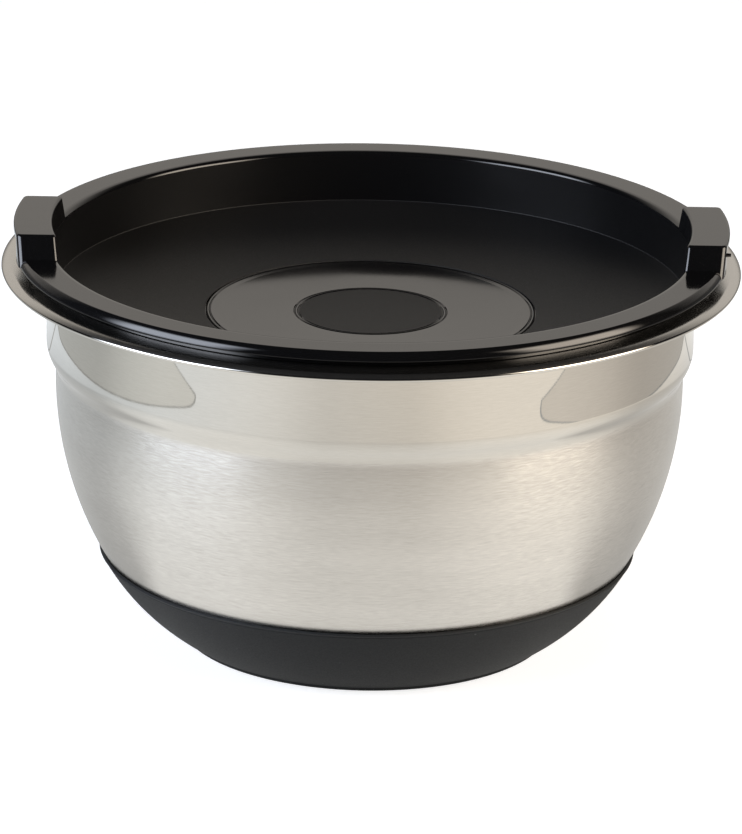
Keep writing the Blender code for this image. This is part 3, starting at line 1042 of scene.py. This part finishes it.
def make_floor():
    """White floor for the camera, and for glossy rays the mirrored table, glowing with painted
    light.
    """
    shape = bmesh.new()
    bmesh.ops.create_circle(shape, cap_ends=True, segments=FLOOR_SEGMENTS, radius=FLOOR_RADIUS)
    piece = keep_mesh("studio_floor", shape)
    piece.location.z = -FLOOR_DROP
    # Matte white paint: it takes a soft shadow and shows no mirror image to the camera. For glossy
    # rays it glows with the table's painted light, pools and shadow, though it is no lamp.
    made = bpy.data.materials.new("pale_paint_with_painted_table_glow")
    made.use_nodes = True
    tree = made.node_tree
    tree.nodes.clear()
    path = add(tree, "LightPath").outputs
    seen = scalar_math(tree, "MAXIMUM", path["Is Glossy Ray"], path["Is Transmission Ray"])
    tone, strength, away = mirrored_table(tree)
    # Painted light: the glow that glossy rays meet, with the table's painted pools, shade and
    # shadow.
    mirrored = add(tree, "Emission", {"Color": tone, "Strength": strength}).outputs[0]
    fill = ramp(tree, away, FILL_NEAR, FILL_FAR, FILL, 1.0)
    plain = add(tree, "Emission", {"Color": linear("ffffff"), "Strength": fill}).outputs[0]
    matte = add(tree, "BsdfDiffuse", {"Color": linear("d2d4d8")}).outputs[0]
    lifted = add(tree, "AddShader", {0: plain, 1: matte}).outputs[0]
    direct = add(tree, "MixShader", {0: path["Is Camera Ray"], 1: matte, 2: lifted}).outputs[0]
    whole = add(tree, "MixShader", {0: seen, 1: direct, 2: mirrored}).outputs[0]
    add(tree, "OutputMaterial", {"Surface": whole})
    piece.data.materials.append(made)


make_floor()
print("floor radius", FLOOR_RADIUS, "m")

# %% Room
# The white screen behind the table, in shares of a direction: how far back it starts and is
# full, how high it ends and is full, and how low its foot is shaded.
SCREEN_START, SCREEN_FULL = 0.4, 0.75
SCREEN_TOP, SCREEN_TOP_FULL = 0.72, 0.5
SCREEN_FOOT, SCREEN_FOOT_FULL = 0.02, 0.14
FOOT_SHADE = 0.3


def make_room():
    """White room for the camera, and a white screen in a dark room for all other rays."""
    world = bpy.data.worlds.new("studio_room")
    bpy.context.scene.world = world
    world.use_nodes = True
    tree = world.node_tree
    tree.nodes.clear()
    way = split(tree, add(tree, "TexCoord").outputs["Generated"])
    behind = ramp(tree, way["Y"], SCREEN_START, SCREEN_FULL)
    top = ramp(tree, way["Z"], SCREEN_TOP, SCREEN_TOP_FULL)
    foot = ramp(tree, way["Z"], SCREEN_FOOT, SCREEN_FOOT_FULL, FOOT_SHADE, 1.0)
    height = scalar_math(tree, "MULTIPLY", top, foot)
    tone = blend(tree, scalar_math(tree, "MULTIPLY", behind, height), "242425", "d9d3cb")
    path = add(tree, "LightPath").outputs
    room = add(tree, "Background", {"Color": tone, "Strength": 1.0}).outputs[0]
    white = add(tree, "Background", {"Color": linear("ffffff"), "Strength": 1.0}).outputs[0]
    whole = add(tree, "MixShader", {0: path["Is Camera Ray"], 1: room, 2: white}).outputs[0]
    add(tree, "OutputWorld", {"Surface": whole})


make_room()
print("room:", bpy.context.scene.world.name)

# %% [markdown]
# ## Soft boxes and camera
#
# Two soft boxes stand left and right in front of the bowl, the left one cooler than the right.
# Their cloth glows most in the middle, so their mirror images fade out at the ends. They make
# the long streaks on the lid's flange and the upright glow on the brushed steel.
# The camera looks down by nineteen degrees through a long lens, as the photograph does, and it
# is rolled by about one degree.

# %% Soft boxes
BOX_DISTANCE = 1.7
BOX_HEIGHT = 1.45
BOX_AIM = Vector((0.0, 0.0, 0.1))
# Places on the cloth run from 0 to 1. It glows fully up to CLOTH_FULL from the middle.
CLOTH_MIDDLE = (0.5, 0.5, 0.0)
CLOTH_EDGE = 0.5
CLOTH_FULL = 0.22


def fade_to_edges(data):
    """Let the cloth of a soft box glow most in its middle, as a real one does."""
    data.use_nodes = True
    tree = data.node_tree
    tree.nodes.clear()
    spot = add(tree, "NewGeometry").outputs["Parametric"]
    offset = vector_math(tree, "SUBTRACT", spot, CLOTH_MIDDLE)
    sides = split(tree, vector_math(tree, "ABSOLUTE", offset))
    across = ramp(tree, sides["X"], CLOTH_EDGE, CLOTH_FULL, curve="SMOOTHSTEP")
    upward = ramp(tree, sides["Y"], CLOTH_EDGE, CLOTH_FULL, curve="SMOOTHSTEP")
    glow = scalar_math(tree, "MULTIPLY", across, upward)
    light = add(tree, "Emission", {"Strength": glow}).outputs[0]
    add(tree, "OutputLight", {"Surface": light})


def soft_box(name, azimuth, elevation, width, watts, tint):
    """Soft box that faces the bowl; its azimuth in degrees runs from the front to the right."""
    data = bpy.data.lights.new(name, "AREA")
    data.shape = "RECTANGLE"
    data.size = width
    data.size_y = BOX_HEIGHT
    data.energy = watts
    data.color = linear(tint)[:3]
    fade_to_edges(data)
    lamp = bpy.data.objects.new(name, data)
    level = cos(radians(elevation))
    turned = radians(azimuth)
    way = Vector((level * sin(turned), -level * cos(turned), sin(radians(elevation))))
    lamp.location = way * BOX_DISTANCE + BOX_AIM
    lamp.rotation_euler = (-way).to_track_quat("-Z", "Y").to_euler()
    lamp.visible_camera = False
    bpy.context.scene.collection.objects.link(lamp)


soft_box("left_soft_box", azimuth=-65.0, elevation=21.0, width=1.70, watts=68.0, tint="eaf1ff")
soft_box("right_soft_box", azimuth=69.0, elevation=21.0, width=1.60, watts=64.0, tint="fff1df")
print("soft boxes stand", BOX_DISTANCE, "m away")

# %% Camera
IMAGE_WIDTH = 742.0
FOCAL_PIXELS = 6700.0
SENSOR_WIDTH = 36.0
VIEW_DISTANCE = 2.5
VIEW_ELEVATION = radians(18.9)
VIEW_ROLL = radians(0.95)
AIM = Vector((0.0, 0.0, 0.0755))
# The aim's place in the picture, in pixels from its centre. Lens shift puts it there.
AIM_RIGHT_OF_CENTRE = -2.6
AIM_BELOW_CENTRE = 18.6

camera_data = bpy.data.cameras.new("camera")
camera_data.sensor_fit = "HORIZONTAL"
camera_data.sensor_width = SENSOR_WIDTH
camera_data.lens = FOCAL_PIXELS * SENSOR_WIDTH / IMAGE_WIDTH
camera_data.shift_x = -AIM_RIGHT_OF_CENTRE / IMAGE_WIDTH
camera_data.shift_y = AIM_BELOW_CENTRE / IMAGE_WIDTH
camera = bpy.data.objects.new("camera", camera_data)
camera.location = AIM + VIEW_DISTANCE * Vector((0.0, -cos(VIEW_ELEVATION), sin(VIEW_ELEVATION)))
camera.rotation_mode = "XYZ"
camera.rotation_euler = (AIM - camera.location).to_track_quat("-Z", "Y").to_euler()
camera.rotation_euler.rotate_axis("Z", VIEW_ROLL)
bpy.context.scene.collection.objects.link(camera)
bpy.context.scene.camera = camera
bpy.context.scene.view_settings.view_transform = "Standard"
print("lens", round(camera_data.lens, 1), "mm")
